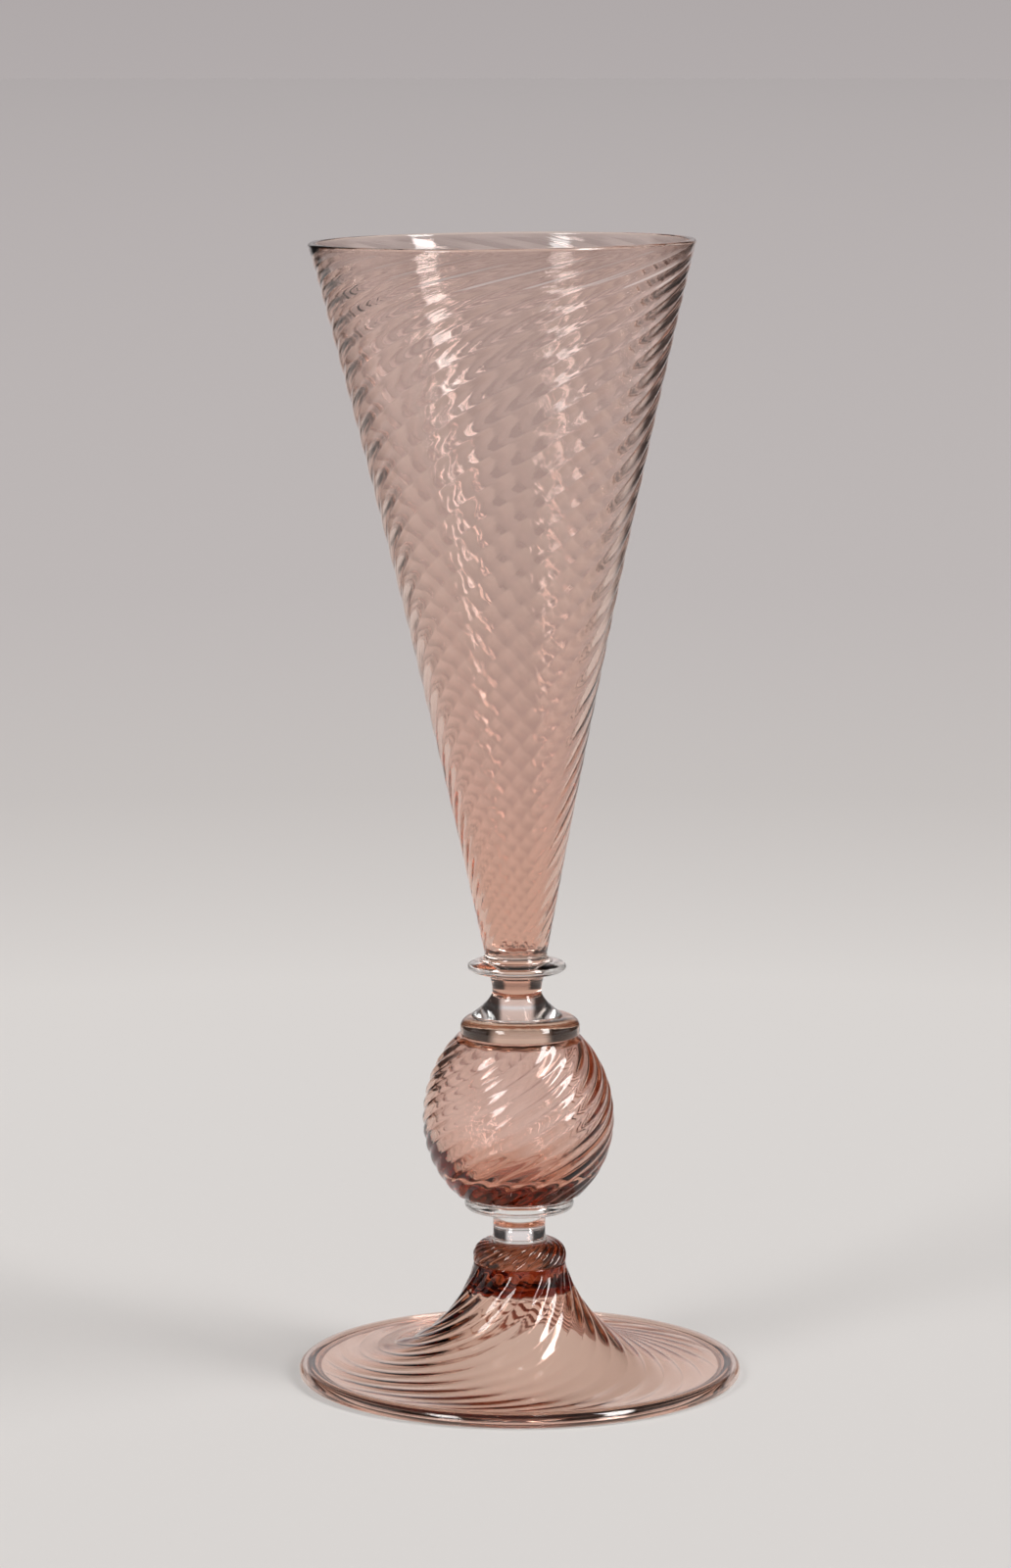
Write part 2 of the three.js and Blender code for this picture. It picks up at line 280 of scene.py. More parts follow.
clearCup = {
    "name": "clear_cup_glass",
    "tints": [
        (0.0936, (0.99, 0.99, 0.985)), (0.0942, (0.84, 0.56, 0.45)), (0.0985, (0.74, 0.4, 0.28)),
        (0.1008, (0.78, 0.45, 0.33)), (0.1018, (0.99, 0.99, 0.985)),
    ],
    "bodyColour": (0.8, 0.85, 0.8),
    "density": 4,
    "joined": True,
}
roseButton = {
    "name": "rose_button_glass",
    "tint": (0.95, 0.72, 0.63),
    "bodyColour": (0.67, 0.3, 0.02),
    "density": 12,
    "joined": True,
}

# Fine streaks that the twisting leaves along the ribs
ripple = {"scale": 16, "detail": 2, "depth": 0.014 * mm}
refraction = {"glass": 1.5, "joint": 1.0}


def openJoint(nodes, links, shader):
    # Melted together, two pieces have no surface between them: light goes straight on, untinted
    joined = nodes.new("ShaderNodeAttribute")
    joined.attribute_name = "joined"
    ior = nodes.new("ShaderNodeMapRange")
    ior.inputs["To Min"].default_value = refraction["glass"]
    ior.inputs["To Max"].default_value = refraction["joint"]
    links.new(joined.outputs["Fac"], ior.inputs["Value"])
    links.new(ior.outputs["Result"], shader.inputs["IOR"])
    base = shader.inputs["Base Color"]
    tint = nodes.new("ShaderNodeMix")
    tint.data_type = "RGBA"
    if base.is_linked:
        links.new(base.links[0].from_socket, tint.inputs["A"])
    else:
        tint.inputs["A"].default_value = base.default_value
    tint.inputs["B"].default_value = (1, 1, 1, 1)
    links.new(joined.outputs["Fac"], tint.inputs["Factor"])
    links.new(tint.outputs["Result"], base)


def glassMaterial(recipe):
    material = bpy.data.materials.new(recipe["name"])
    material.use_nodes = True
    nodes, links = material.node_tree.nodes, material.node_tree.links
    shader = nodes["Principled BSDF"]
    shader.inputs["Transmission Weight"].default_value = 1
    shader.inputs["Roughness"].default_value = 0
    shader.inputs["IOR"].default_value = refraction["glass"]
    if "tints" in recipe:
        links.new(heightRamp(nodes, links, recipe["tints"]), shader.inputs["Base Color"])
    else:
        shader.inputs["Base Color"].default_value = (*recipe["tint"], 1)
    if recipe.get("joined"):
        openJoint(nodes, links, shader)
    streaks = nodes.new("ShaderNodeAttribute")
    streaks.attribute_name = "flow"
    wave = nodes.new("ShaderNodeTexNoise")
    wave.inputs["Scale"].default_value = ripple["scale"]
    wave.inputs["Detail"].default_value = ripple["detail"]
    links.new(streaks.outputs["Vector"], wave.inputs["Vector"])
    bump = nodes.new("ShaderNodeBump")
    bump.inputs["Strength"].default_value = 1
    bump.inputs["Distance"].default_value = ripple["depth"] * recipe.get("ripple", 1)
    links.new(wave.outputs["Fac"], bump.inputs["Height"])
    links.new(bump.outputs["Normal"], shader.inputs["Normal"])
    body = nodes.new("ShaderNodeVolumeAbsorption")
    body.inputs["Color"].default_value = (*recipe["bodyColour"], 1)
    body.inputs["Density"].default_value = recipe["density"]
    links.new(body.outputs["Volume"], nodes["Material Output"].inputs["Volume"])
    return material


def shutInAir(piece, centre, reach):
    # A ring of air inside the glass; its faces look into the air
    mesh = bmesh.new()
    mesh.from_mesh(piece.data)
    axis = axisOf("foot")
    ring = arc(centre, reach, 0, 360, foot["airSides"])[:-1]
    verts = [mesh.verts.new((axis.x + point["r"], axis.y, point["z"])) for point in ring]
    edges = [mesh.edges.new(pair) for pair in zip(verts, verts[1:] + verts[:1])]
    before = set(mesh.faces)
    bmesh.ops.spin(
        mesh, geom=verts + edges, cent=axis, axis=(0, 0, 1), dvec=(0, 0, 0), angle=math.tau,
        steps=ribColumns, use_merge=True, use_duplicate=False,
    )
    tube = [face for face in mesh.faces if face not in before]
    bmesh.ops.recalc_face_normals(mesh, faces=tube)
    bmesh.ops.reverse_faces(mesh, faces=tube)
    for face in tube:
        face.smooth = True
    mesh.to_mesh(piece.data)
    mesh.free()


foot = {
    "wall": 1.9 * mm,
    "solidDepth": 5.0 * mm,
    "beadWidth": 5.0 * mm,
    "beadHeight": 3.8 * mm,
    "beadStep": 0.4 * mm,
    "beadFlatness": 0.8,
    "beadArc": 127,  # degrees that the bead goes round, up and down from its outermost point
    "beadSteps": 60,
    "airWidth": 3.2 * mm,  # ring of air shut in where the rim was folded over
    "airHeight": 3.2 * mm,
    "airOut": 0.5 * mm,
    "airDrop": 0.1 * mm,
    "airSides": 28,
    "neckRadius": 11.3 * mm,
    "throatDrop": 9.1 * mm,
    "throatSpread": 2.3 * mm,
    "flareWidth": 27.0 * mm,
    "flareDip": 0.9 * mm,
    "hollowCrown": 2.6 * mm,
    "ribDepth": 0.28 * mm,
    "innerRibDepth": -0.26 * mm,
    "softRibs": 0.6,
    "calmFrom": 20 * mm,  # radius from which the ribs get shallower, out on the disc
    "calmTo": 34 * mm,
    "calmShare": 0.75,
    "ribFade": 5 * mm,
    "turnPerMm": 3.6,
    "rings": 110,
}


def makeFoot(material):
    seat, top = seatOf("foot"), topOf("foot")
    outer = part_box("foot")[1].x - axisOf("foot").x
    discTop = foot["beadHeight"] - foot["beadStep"]
    beadInner = outer - foot["beadWidth"]
    trumpet = [
        (foot["neckRadius"], top - jointGap),
        (foot["neckRadius"] + foot["throatSpread"], top - foot["throatDrop"]),
        (beadInner - foot["flareWidth"], discTop - foot["flareDip"]),
        (beadInner, discTop),
    ]
    curve = [bezier(trumpet, i / foot["rings"]) for i in range(foot["rings"] + 1)]
    length = runs([station(p.x, p.y) for p in curve])
    total = length[-1]
    outside, underside = [], []
    crown = top - foot["solidDepth"]
    for i, point in enumerate(curve):
        turn = (total - length[i]) / mm * foot["turnPerMm"]
        fade = min(1, (total - length[i]) / foot["ribFade"], length[i] / (foot["ribFade"] / 2))
        calm = min(1, max(0, (point.x - foot["calmFrom"]) / (foot["calmTo"] - foot["calmFrom"])))
        fade *= lerp(1, foot["calmShare"], calm)
        outside.append(station(point.x, point.y, turn, fade * foot["ribDepth"], soft=foot["softRibs"]))
        tangent = bezierTangent(trumpet, i / foot["rings"])
        inner = station(point.x + tangent.y * foot["wall"], point.y - tangent.x * foot["wall"], turn,
                        fade * foot["innerRibDepth"], soft=foot["softRibs"])
        if inner["z"] < crown - foot["hollowCrown"]:
            underside.append(inner)
    beadCentre = (outer - foot["beadWidth"] / 2, seat + foot["beadHeight"] / 2)
    bead = arc(beadCentre, (foot["beadWidth"] / 2, foot["beadHeight"] / 2),
               -foot["beadArc"], foot["beadArc"], foot["beadSteps"])
    for point in bead:
        # the fold is pressed flat where it stands
        down = (beadCentre[1] - point["z"]) / (foot["beadHeight"] / 2)
        if down > 0:
            point["z"] = beadCentre[1] - foot["beadHeight"] / 2 * down ** foot["beadFlatness"]
    shoulder = underside[0]
    hollow = arc((0, shoulder["z"]), (shoulder["r"], crown - shoulder["z"]), 90, 0, steps=16)
    for point in hollow:
        point["turn"] = shoulder["turn"]
    hollow[0]["r"] = 0
    outline = hollow[:-1] + underside + bead + outside[::-1] + [station(0, top - jointGap)]
    piece = spinPiece("ribbed_foot", outline, axisOf("foot"), ribColumns)
    airCentre = (beadCentre[0] + foot["airOut"], beadCentre[1] - foot["airDrop"])
    shutInAir(piece, airCentre, (foot["airWidth"] / 2, foot["airHeight"] / 2))
    return finishPiece(piece, "foot", material)


def collarSide(recipe, seat, top, steps):
    widest = seat + recipe["lip"]
    inset, crownInset = recipe["seatInset"], recipe["crownInset"]
    low = arc((recipe["radius"] - inset, widest), (inset, widest - seat), -90, 0, steps=8)
    high = arc((recipe["radius"] - crownInset, widest), (crownInset, top - widest), 0, 90, steps)
    return low + high[1:]


footCollar = {
    "radius": 11.55 * mm,
    "seatInset": 0.35 * mm,
    "lip": 1.6 * mm,
    "crownInset": 4.3 * mm,
    "ribDepth": 0.5 * mm,
    "ribFade": 1 * mm,
    "turnPerMm": 6.5,
    "rings": 30,
}


def makeFootCollar(material):
    seat, top = seatOf("foot_collar") + jointGap, topOf("foot_collar") - jointGap
    side = collarSide(footCollar, seat, top, footCollar["rings"])
    length = runs(side)
    # the ribs rise to their full depth just above the seat and fade out over the upper half
    for point, run in zip(side, length):
        point["turn"] = run / mm * footCollar["turnPerMm"]
        fade = min(1, (length[-1] - run) / (length[-1] / 2), run / footCollar["ribFade"])
        point["ridge"] = footCollar["ribDepth"] * fade
    neck = lowerSpool["neckRadius"] + lowerSpool["footingWidth"] / 2
    outline = [station(0, seat), *side, station(neck, top, side[-1]["turn"]), station(0, top)]
    piece = spinPiece("ribbed_foot_collar", outline, axisOf("foot_collar"), ribColumns)
    return finishPiece(piece, "foot_collar", material)


lowerSpool = {
    "neckRadius": 6.45 * mm,
    "footingWidth": 0.45 * mm,
    "footingHeight": 0.9 * mm,
    "plateRadius": 13.5 * mm,
    "plateHeight": 2.9 * mm,
    "plateEdge": 1.1 * mm,
    "fillet": 1.1 * mm,
}


def makeLowerSpool(material):
    seat, top = seatOf("lower_spool") + jointGap, topOf("lower_spool") - jointGap
    plateLow = top - lowerSpool["plateHeight"]
    footing = plateEdge(lowerSpool["neckRadius"] + lowerSpool["footingWidth"], seat,
                        seat + lowerSpool["footingHeight"], lowerSpool["footingWidth"], steps=10)
    fillet = arc((lowerSpool["neckRadius"] + lowerSpool["fillet"], plateLow - lowerSpool["fillet"]),
                 (lowerSpool["fillet"], lowerSpool["fillet"]), 180, 90, steps=8)
    plate = plateEdge(lowerSpool["plateRadius"], plateLow, top, lowerSpool["plateEdge"], steps=20)
    outline = [station(0, seat), *footing, *fillet, *plate, station(0, top)]
    piece = spinPiece("clear_lower_spool", outline, axisOf("lower_spool"), roundColumns)
    return finishPiece(piece, "lower_spool", material)


def ballRadius(z, middle, radius, below, above):
    reach = below if z < middle else above
    return radius * math.sqrt(max(0, 1 - ((z - middle) / reach) ** 2))


knop = {
    "radius": 23.6 * mm,
    "below": 19.7 * mm,
    "lowerReach": 24.8 * mm,
    "innerLowerReach": 18.8 * mm,  # the wall thickens towards the bottom
    "upperReach": 27.0 * mm,
    "wall": 1.7 * mm,
    "floor": 4.0 * mm,
    "floorRounding": 3.5 * mm,
    "roof": 2.0 * mm,
    "pipeHoleRadius": 3.6 * mm,
    "heel": 0.8 * mm,  # rounding where the ball runs in over the plate
    "heelRadius": 13.2 * mm,
    "shoulder": 0.3 * mm,
    "shoulderInset": 0.5 * mm,
    "ribDepth": 0.36 * mm,
    "innerRibDepth": -0.3 * mm,
    "softRibs": 0.85,
    "ribFade": 5 * mm,
    "ribLeastBelow": 0.4,  # share of the rib's depth that is left at the plate
    "ribLeastAbove": 0.2,
    "turnPerMm": 4.6,
    "rings": 110,
    "innerRings": 80,
}


def makeKnop(material):
    seat, top = seatOf("knop") + jointGap, topOf("knop") - jointGap
    middle = seat + knop["below"]
    shoulder = top - knop["shoulder"]
    outside = []
    for i in range(knop["rings"] + 1):
        z = lerp(seat, shoulder, i / knop["rings"])
        turn = (z - seat) / mm * knop["turnPerMm"]
        ridge = min(1, knop["ribLeastBelow"] + (z - seat) / knop["ribFade"],
                    knop["ribLeastAbove"] + (shoulder - z) / knop["ribFade"])
        r = ballRadius(z, middle, knop["radius"], knop["lowerReach"], knop["upperReach"])
        tuck = max(0, 1 - (z - seat) / knop["heel"]) ** 2
        r = lerp(r, knop["heelRadius"], tuck)
        outside.append(station(r, z, turn, ridge * knop["ribDepth"], soft=knop["softRibs"]))
    lastTurn = outside[-1]["turn"]
    roof, floor = top - knop["roof"], seat + knop["floor"]
    innerRadius = knop["radius"] - knop["wall"]
    floorTop = floor + knop["floorRounding"]
    hollow = []
    for i in range(knop["innerRings"] + 1):
        z = lerp(roof, floorTop, i / knop["innerRings"])
        fade = max(0, min(1, (roof - z) / knop["ribFade"], (z - floorTop) / knop["ribFade"]))
        ridge = knop["innerRibDepth"] * fade
        r = ballRadius(z, middle, innerRadius, knop["innerLowerReach"], knop["upperReach"] - knop["wall"])
        hollow.append(station(r, z, (z - seat) / mm * knop["turnPerMm"], ridge, soft=knop["softRibs"]))
    lowest = hollow[-1]
    hollowFloor = arc((0, floorTop), (lowest["r"], floorTop - floor), 0, -90, steps=16)[1:]
    for point in hollowFloor:
        point["turn"] = lowest["turn"]
    hollowFloor[-1]["r"] = 0
    inset = outside[-1]["r"] - knop["shoulderInset"]
    outside[0]["ridge"] = 0
    shoulderTop = [station(inset, top, lastTurn), station(knop["pipeHoleRadius"], top, lastTurn)]
    outline = [station(0, seat), *outside, *shoulderTop,
               station(knop["pipeHoleRadius"], roof, lastTurn), *hollow, *hollowFloor]
    piece = spinPiece("ribbed_knop", outline, axisOf("knop"), ribColumns)
    return finishPiece(piece, "knop", material)


knopCollar = {
    "radius": 14.75 * mm,
    "seatInset": 0.25 * mm,
    "lip": 1.8 * mm,
    "crownInset": 3.6 * mm,
}


def makeKnopCollar(material):
    seat, top = seatOf("knop_collar") + jointGap, topOf("knop_collar") - jointGap
    side = collarSide(knopCollar, seat, top, steps=24)
    outline = [station(0, seat), *side, station(0, top)]
    piece = spinPiece("knop_collar_ring", outline, axisOf("knop_collar"), roundColumns)
    return finishPiece(piece, "knop_collar", material)


upperSpool = {
    "baseRadius": 11.2 * mm,
    "baseEdge": 0.2 * mm,
    "flareSpread": 0.55 * mm,
    "flareRise": 3.6 * mm,
    "flareSteps": 20,
    "waistRadius": 6.05 * mm,
    "waistRise": 5.8 * mm,
    "cupRadius": 7.8 * mm,
    "plateRadius": 12.15 * mm,
    "plateHeight": 2.9 * mm,
    "plateEdge": 3.1 * mm,
}


def makeUpperSpool(material):
    seat, top = seatOf("upper_spool") + jointGap, topOf("upper_spool") - jointGap
    waist = seat + upperSpool["waistRise"]
    plateLow = top - upperSpool["plateHeight"]
    wide, narrow = upperSpool["baseRadius"], upperSpool["waistRadius"]
    low, high = (wide, seat + upperSpool["baseEdge"]), (narrow, waist)
    bend = (narrow + upperSpool["flareSpread"], seat + upperSpool["flareRise"])
    handles = [tuple(lerp(a, b, 2 / 3) for a, b in zip(end, bend)) for end in (low, high)]
    curve = [bezier([low, *handles, high], i / upperSpool["flareSteps"])
             for i in range(upperSpool["flareSteps"] + 1)]
    base = arc((wide - upperSpool["baseEdge"], seat + upperSpool["baseEdge"]),
               (upperSpool["baseEdge"], upperSpool["baseEdge"]), -90, 0, steps=4)
    flare = [station(point.x, point.y) for point in curve]
    cupReach = upperSpool["cupRadius"] - upperSpool["waistRadius"]
    cup = arc((narrow + cupReach, waist), (cupReach, plateLow - waist), 180, 90, steps=16)
    plate = plateEdge(upperSpool["plateRadius"], plateLow, top, upperSpool["plateEdge"], steps=16)
    outline = [station(0, seat), *base, *flare[1:], *cup[1:], *plate,
               station(button["radius"] - button["edge"], top, fused=True), station(0, top, fused=True)]
    piece = spinPiece("clear_upper_spool", outline, axisOf("upper_spool"), roundColumns)
    return finishPiece(piece, "upper_spool", material)


button = {"radius": 9.0 * mm, "edge": 0.2 * mm}


def makeButton(material):
    seat, top = seatOf("bowl_button") + jointGap, topOf("bowl_button") - jointGap
    edge = seat + button["edge"]
    low = arc((button["radius"] - button["edge"], edge), (button["edge"], button["edge"]), -90, 0, steps=4)
    reach = button["radius"] - bowl["baseRadius"]
    high = arc((button["radius"], top), (reach, top - edge), -90, -180, steps=12)
    side = low + high[1:]
    side[0]["fused"] = side[-1]["fused"] = True
    outline = [station(0, seat, fused=True), *side, station(0, top, fused=True)]
    piece = spinPiece("rose_button", outline, axisOf("bowl_button"), roundColumns)
    return finishPiece(piece, "bowl_button", material)


bowl = {
    "height": 174 * mm,
    "baseRadius": 7.7 * mm,
    "rimRadius": 47.0 * mm,
    "flare": 0.12,
    "wall": 1.5 * mm,
    "wallThickening": 1.0 * mm,
    "wallBias": 2,  # how much of the thickening comes late, near the hollow's floor
    "solidDepth": 0.8 * mm,
    "floorRounding": 1.6 * mm,
    "lean": -3.4 * mm,
    "rimTilt": 0.65,
    "ribShare": 0.0125,  # depth of a groove as a share of the radius
    "innerRibShare": -0.003,  # the wall follows the ribs on the inside
    "softRibs": 0.7,
    "ribFade": 9 * mm,
    "turnPerMm": 2.55,
    "extraTurnBelow": 3.6,
    "extraTurnAbove": 4.5,
    "turnReachBelow": 17,
    "turnReachAbove": 12,
    "rings": 170,
    "innerRings": 130,
}


def bowlTurn(rise, height):
    # Degrees of turn up to a height in millimetres; the ribs turn faster near both ends
    below, above = bowl["turnReachBelow"], bowl["turnReachAbove"]
    turn = bowl["turnPerMm"] * rise
    turn += bowl["extraTurnBelow"] * below * (1 - math.exp(-rise / below))
    late = math.exp((rise - height) / above) - math.exp(-height / above)
    return turn + bowl["extraTurnAbove"] * above * late


def makeBowl(material):
    seat = seatOf("bowl") + jointGap
    centre = axisOf("bowl_button")
    height = bowl["height"]
    top = seat - jointGap + height

    def radiusAt(z):
        share = (z - seat) / height
        opening = (1 - bowl["flare"]) * share + bowl["flare"] * share**2
        return lerp(bowl["baseRadius"], bowl["rimRadius"], opening)

    def turnAt(z):
        return bowlTurn((z - seat) / mm, height / mm)

    lipRadius = bowl["wall"] / 2
    lipLow = top - lipRadius
    outside = []
    for i in range(bowl["rings"] + 1):
        z = lerp(seat, lipLow, i / bowl["rings"])
        ridge = bowl["ribShare"] * radiusAt(z) * min(1, (lipLow - z) / bowl["ribFade"])
        outside.append(station(radiusAt(z), z, turnAt(z), ridge, soft=bowl["softRibs"]))
    lip = arc((radiusAt(lipLow) - lipRadius, lipLow), (lipRadius, lipRadius), 0, 180, steps=12)[1:-1]
    for point in lip:
        point["turn"] = turnAt(lipLow)
    floor = seat + bowl["solidDepth"]
    floorTop = floor + bowl["floorRounding"]
    inside = []
    for i in range(bowl["innerRings"] + 1):
        z = lerp(lipLow, floorTop, i / bowl["innerRings"])
        wall = bowl["wall"] + bowl["wallThickening"] * ((top - z) / (top - floor)) ** bowl["wallBias"]
        fade = min(1, (lipLow - z) / bowl["ribFade"], (z - floorTop) / bowl["ribFade"])
        ridge = bowl["innerRibShare"] * radiusAt(z) * fade
        inside.append(station(radiusAt(z) - wall, z, turnAt(z), ridge, soft=bowl["softRibs"]))
    lowest = inside[-1]
    hollow = arc((0, floorTop), (lowest["r"], floorTop - floor), 0, -90, steps=16)[1:]
    for point in hollow:
        point["turn"] = lowest["turn"]
    hollow[-1]["r"] = 0
    outside[0]["fused"] = True
    outside[0]["ridge"] = 0
    outline = [station(0, seat, fused=True), *outside, *lip, *inside, *hollow]
    piece = spinPiece("ribbed_bowl", outline, Vector((0, 0, 0)), ribColumns)
    # the whole bowl leans to one side and its rim is a little out of level
    tip = math.tan(math.radians(bowl["rimTilt"]))
    for vert in piece.data.vertices:
        share = (vert.co.z - seat) / height
        vert.co.z += tip * vert.co.x * share
        vert.co.x += centre.x + bowl["lean"] * share
    return finishPiece(piece, "bowl", material)


# Floor and world share painted shade and painted reflections that only glass sees of the studio
studio = {
    "gapCount": 4,  # painted dark gaps between the painted pale panels round the table
    "gapStart": 0.5,  # cosine at which a gap starts; a gap is centred on -1
    "gapSoftness": 0.7,
    "gapDepth": 0.94,
    "tableNear": 0.8,  # distances in metres over which the gaps come in on the floor
    "tableFar": 1.2,
}


def mathNode(nodes, links, operation, first, second=None):
    node = nodes.new("ShaderNodeMath")
    node.operation = operation
    for socket, value in zip(node.inputs, (first, second)):
        if value is None:
            continue
        if isinstance(value, (int, float)):
            socket.default_value = value
        else:
            links.new(value, socket)
    return node.outputs["Value"]


def fallOff(nodes, links, value, inner, outer):
    node = nodes.new("ShaderNodeMapRange")
    node.interpolation_type = "SMOOTHSTEP"
    node.inputs["From Min"].default_value = inner
    node.inputs["From Max"].default_value = outer
    node.inputs["To Min"].default_value = 1
    node.inputs["To Max"].default_value = 0
    links.new(value, node.inputs["Value"])
    return node.outputs["Result"]


def seenByGlass(nodes, links):
    rays = nodes.new("ShaderNodeLightPath").outputs
    return mathNode(nodes, links, "MAXIMUM", rays["Is Glossy Ray"], rays["Is Transmission Ray"])


def gapShade(nodes, links, vector):
    # Painted shade of a gap in this direction from the middle of the table, for glass only
    parts = nodes.new("ShaderNodeSeparateXYZ")
    links.new(vector, parts.inputs["Vector"])
    around = mathNode(nodes, links, "ARCTAN2", parts.outputs["X"], parts.outputs["Y"])
    wave = mathNode(nodes, links, "COSINE", mathNode(nodes, links, "MULTIPLY", around, studio["gapCount"]))
    gap = fallOff(nodes, links, wave, studio["gapStart"] - studio["gapSoftness"], studio["gapStart"])
    depth = mathNode(nodes, links, "MULTIPLY", gap, studio["gapDepth"])
    return mathNode(nodes, links, "MULTIPLY", depth, seenByGlass(nodes, links))


floorLook = {
    "radius": 20,
    "roughness": 0.9,
    # distance in metres, colour; darker away from the table, painted shade for studio light that falls off
    # with distance
    "tones": [
        (0.4, (0.72, 0.692, 0.672)), (0.55, (0.72, 0.69, 0.668)), (1.0, (0.585, 0.553, 0.537)),
        (1.8, (0.532, 0.497, 0.491)), (3.4, (0.512, 0.477, 0.473)), (6.8, (0.488, 0.453, 0.451)),
        (20, (0.447, 0.416, 0.415)),
    ],
    "ownLight": 0.5,  # share of the tone that camera and glass see whatever falls on the floor
    "underFoot": 0.35,  # painted light: more of it below the foot, a glowing pool where the glass gathers light
    "causticTint": (0.98, 0.85, 0.79),  # painted rose tint of that pool, for light that has come through rose glass
    "footInner": 0.05,  # distances in metres between which both fade
    "footOuter": 0.065,
    "segments": 128,
    "drop": 0.02 * mm,  # below the foot, so that the two never coincide
}


def makeFloor():
    mesh = bmesh.new()
    bmesh.ops.create_circle(mesh, cap_ends=True, segments=floorLook["segments"], radius=floorLook["radius"])
    data = bpy.data.meshes.new("floor")
    mesh.to_mesh(data)
    mesh.free()
    floor = bpy.data.objects.new("floor", data)
    bpy.context.scene.collection.objects.link(floor)
    material = bpy.data.materials.new("pale_floor")
    material.use_nodes = True
    nodes, links = material.node_tree.nodes, material.node_tree.links
    shader = nodes["Principled BSDF"]
    shader.inputs["Roughness"].default_value = floorLook["roughness"]
    shader.inputs["Specular IOR Level"].default_value = 0
    place = nodes.new("ShaderNodeTexCoord")
    distance = nodes.new("ShaderNodeVectorMath")
    distance.operation = "LENGTH"
    links.new(place.outputs["Object"], distance.inputs[0])
    # on a logarithm of the distance the near tones have room
    reading = mathNode(nodes, links, "LOGARITHM", distance.outputs["Value"], 10)
    tones = [(math.log10(metres), colour) for metres, colour in floorLook["tones"]]
    # painted shade: the floor's colour gets darker with distance from the table
    ground = colourRamp(nodes, links, reading, tones)
    near = fallOff(nodes, links, distance.outputs["Value"], studio["tableNear"], studio["tableFar"])
    # painted shade on the far floor in the directions of the gaps, for glass only
    shade = mathNode(nodes, links, "MULTIPLY", gapShade(nodes, links, place.outputs["Object"]),
                     mathNode(nodes, links, "SUBTRACT", 1, near))
    # painted pool of rose light below the foot, which only rays off glass see
    below = fallOff(nodes, links, distance.outputs["Value"], floorLook["footInner"], floorLook["footOuter"])
    glassBelow = mathNode(nodes, links, "MULTIPLY", below, seenByGlass(nodes, links))
    causticTint = nodes.new("ShaderNodeMix")
    causticTint.data_type = "RGBA"
    causticTint.blend_type = "MULTIPLY"
    links.new(glassBelow, causticTint.inputs["Factor"])
    links.new(ground, causticTint.inputs["A"])
    causticTint.inputs["B"].default_value = (*floorLook["causticTint"], 1)
    tone = nodes.new("ShaderNodeVectorMath")
    tone.operation = "SCALE"
    links.new(causticTint.outputs["Result"], tone.inputs[0])
    links.new(mathNode(nodes, links, "SUBTRACT", 1, shade), tone.inputs["Scale"])
    links.new(tone.outputs["Vector"], shader.inputs["Base Color"])
    glow = nodes.new("ShaderNodeEmission")
    links.new(tone.outputs["Vector"], glow.inputs["Color"])
    rays = nodes.new("ShaderNodeLightPath")
    seen = mathNode(nodes, links, "MAXIMUM", rays.outputs["Is Camera Ray"], seenByGlass(nodes, links))
    paintedPool = mathNode(nodes, links, "MULTIPLY", glassBelow, floorLook["underFoot"])
    own = mathNode(nodes, links, "MULTIPLY", seen, floorLook["ownLight"])
    share = mathNode(nodes, links, "ADD", own, paintedPool)
    blend = nodes.new("ShaderNodeMixShader")
    links.new(share, blend.inputs["Fac"])
    links.new(shader.outputs["BSDF"], blend.inputs[1])
    links.new(glow.outputs["Emission"], blend.inputs[2])
    links.new(blend.outputs["Shader"], nodes["Material Output"].inputs["Surface"])
    data.materials.append(material)
    floor.location.z = -floorLook["drop"]
    return floor


worldLook = {
    # elevation in degrees, tone
    "sky": [(-1, 0.447), (0, 0.43), (8, 0.4), (16, 0.3), (26, 0.13), (38, 0.03), (60, 0.01), (90, 0.01)],
    # painted reflection of pale panels round the table, added for glass only
    "panel": [(-1, 0), (4, 0.02), (12, 0.46), (20, 0.4), (29, 0.06), (38, 0), (90, 0)],
    "warmth": (1.0, 0.923, 0.923),
    # directions of the lower and upper end of each tall softbox, from the middle of the table
    "softboxes": [
        {"low": (0.7275, -0.59, 0.349), "high": (0.429, 0.041, 0.901), "strength": 14.4},
        {"low": (-0.562, -0.740, 0.367), "high": (-0.509, -0.343, 0.788), "strength": 10.4},
    ],
    "softboxWidth": 0.16,
    "softboxEdge": 0.03,
    "leastDepth": 0.01,
}


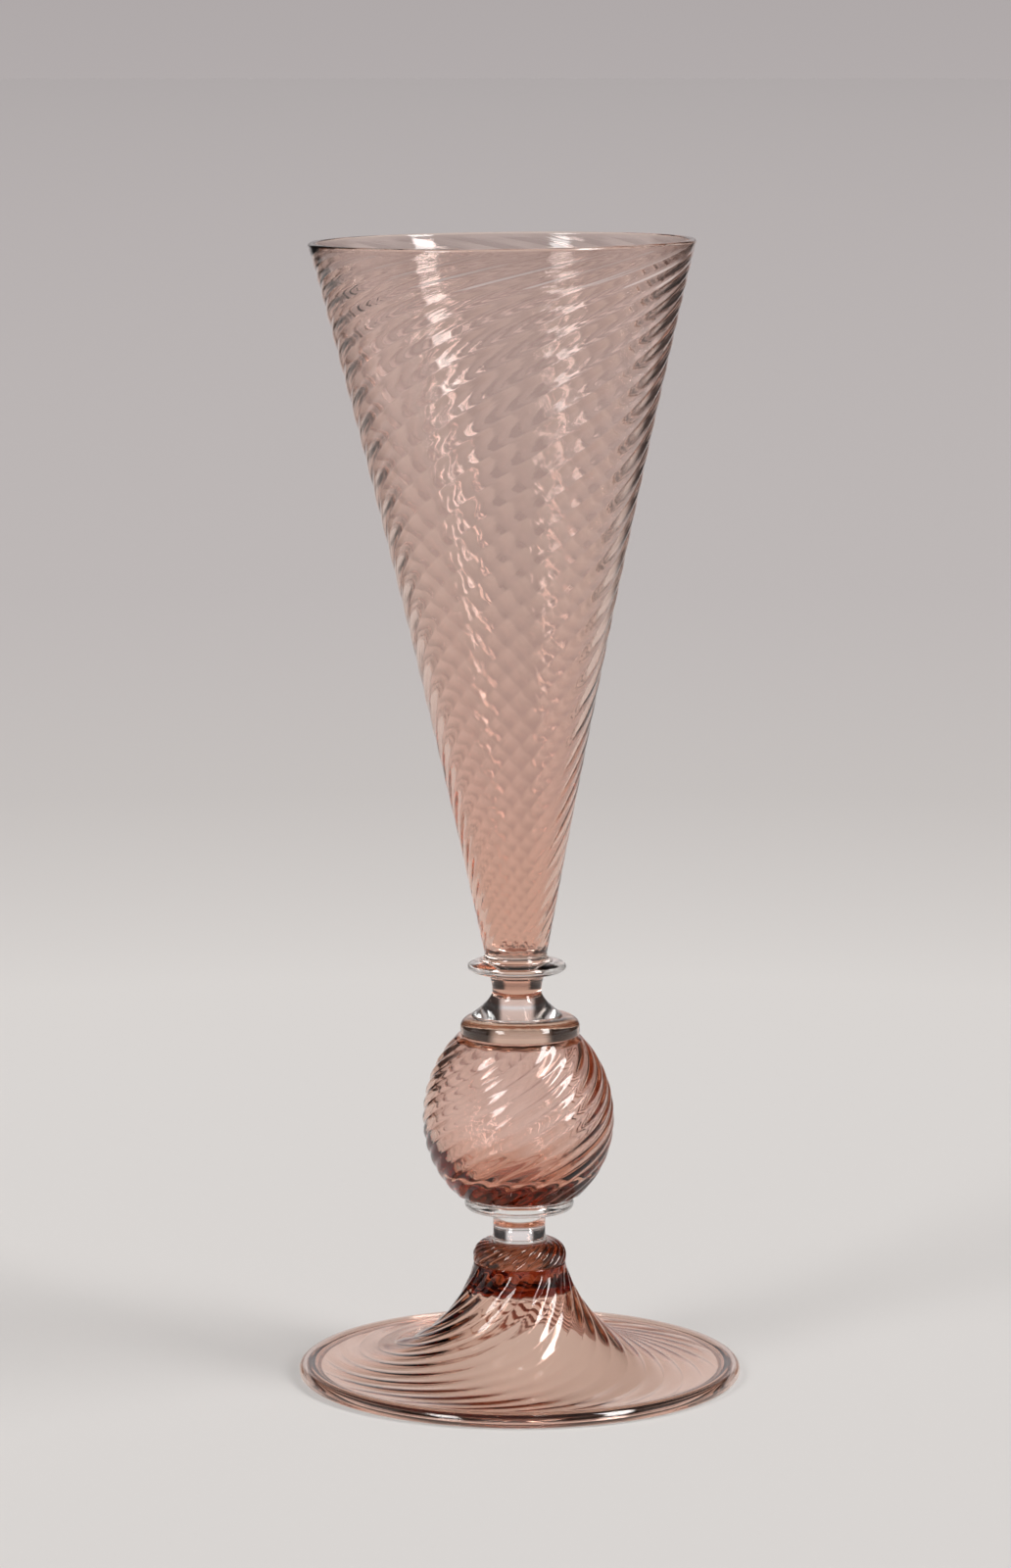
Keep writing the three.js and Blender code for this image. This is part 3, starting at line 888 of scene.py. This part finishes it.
def makeWorld():
    world = bpy.data.worlds.new("studio")
    bpy.context.scene.world = world
    world.use_nodes = True
    nodes, links = world.node_tree.nodes, world.node_tree.links
    background = nodes["Background"]
    place = nodes.new("ShaderNodeTexCoord")

    def dot(direction):
        node = nodes.new("ShaderNodeVectorMath")
        node.operation = "DOT_PRODUCT"
        links.new(place.outputs["Generated"], node.inputs[0])
        node.inputs[1].default_value = direction
        return node.outputs["Value"]

    rise = dot((0, 0, 1))

    def byElevation(tones):
        stops = [(math.sin(math.radians(elevation)), [tone * part for part in worldLook["warmth"]])
                 for elevation, tone in tones]
        return colourRamp(nodes, links, rise, stops)

    # painted reflection: the panels are added only where glass looks
    panel = nodes.new("ShaderNodeVectorMath")
    panel.operation = "MULTIPLY_ADD"
    links.new(byElevation(worldLook["panel"]), panel.inputs[0])
    links.new(seenByGlass(nodes, links), panel.inputs[1])
    links.new(byElevation(worldLook["sky"]), panel.inputs[2])
    sky = nodes.new("ShaderNodeVectorMath")
    sky.operation = "SCALE"
    links.new(panel.outputs["Vector"], sky.inputs[0])
    # painted shade of the gaps in the world, for glass only
    shade = gapShade(nodes, links, place.outputs["Generated"])
    links.new(mathNode(nodes, links, "SUBTRACT", 1, shade), sky.inputs["Scale"])
    light = None
    edge = worldLook["softboxEdge"]
    for box in worldLook["softboxes"]:
        low, high = Vector(box["low"]).normalized(), Vector(box["high"]).normalized()
        facing = (low + high).normalized()
        upward = (high - low).normalized()
        across = facing.cross(upward)
        tallness = math.tan(low.angle(high) / 2)
        depth = dot(facing)
        safeDepth = mathNode(nodes, links, "MAXIMUM", depth, worldLook["leastDepth"])
        mask = mathNode(nodes, links, "GREATER_THAN", depth, worldLook["leastDepth"])
        for axis, half in ((across, worldLook["softboxWidth"] / 2 + edge), (upward, tallness)):
            slope = mathNode(nodes, links, "DIVIDE", dot(axis), safeDepth)
            offset = mathNode(nodes, links, "ABSOLUTE", slope)
            inside = fallOff(nodes, links, offset, half - edge, half + edge)
            mask = mathNode(nodes, links, "MULTIPLY", mask, inside)
        glow = mathNode(nodes, links, "MULTIPLY", mask, box["strength"])
        light = glow if light is None else mathNode(nodes, links, "ADD", light, glow)
    total = nodes.new("ShaderNodeVectorMath")
    total.operation = "ADD"
    links.new(sky.outputs["Vector"], total.inputs[0])
    links.new(light, total.inputs[1])
    links.new(total.outputs["Vector"], background.inputs["Color"])


cameraLook = {
    "distance": 1.324,
    "height": 0.3397,
    "across": -3.5 * mm,
    "pitch": 8.25,  # degrees downwards
    "lens": 125.8,
    "sensor": 36,
    "nearest": 0.05,
    "farthest": 100,
}


def makeCamera():
    data = bpy.data.cameras.new("camera")
    data.lens = cameraLook["lens"]
    data.sensor_width = cameraLook["sensor"]
    data.clip_start = cameraLook["nearest"]
    data.clip_end = cameraLook["farthest"]
    camera = bpy.data.objects.new("camera", data)
    bpy.context.scene.collection.objects.link(camera)
    camera.location = (cameraLook["across"], -cameraLook["distance"], cameraLook["height"])
    camera.rotation_euler = (math.radians(90 - cameraLook["pitch"]), 0, 0)
    bpy.context.scene.camera = camera


bounces = {"glass": 32, "glossy": 16}  # light crosses many walls of glass


def setLook():
    scene = bpy.context.scene
    scene.view_settings.view_transform = "Standard"
    scene.cycles.use_denoising = True
    scene.cycles.max_bounces = bounces["glass"]
    scene.cycles.transmission_bounces = bounces["glass"]
    scene.cycles.glossy_bounces = bounces["glossy"]
    # the bright patches on the table come through the glass
    scene.cycles.caustics_reflective = True
    scene.cycles.caustics_refractive = True


makeCamera()
setLook()
makeFloor()
makeWorld()
print("stage ready")

deepMaterial = glassMaterial(deepRose)
ringMaterial = glassMaterial(ringRose)
clearMaterial = glassMaterial(clear)
makeFoot(glassMaterial(roseFoot))
makeFootCollar(deepMaterial)
makeLowerSpool(clearMaterial)
makeKnop(glassMaterial(roseKnop))
makeKnopCollar(ringMaterial)
makeUpperSpool(glassMaterial(clearCup))
makeButton(glassMaterial(roseButton))
makeBowl(glassMaterial(roseBowl))
print("glass ready")
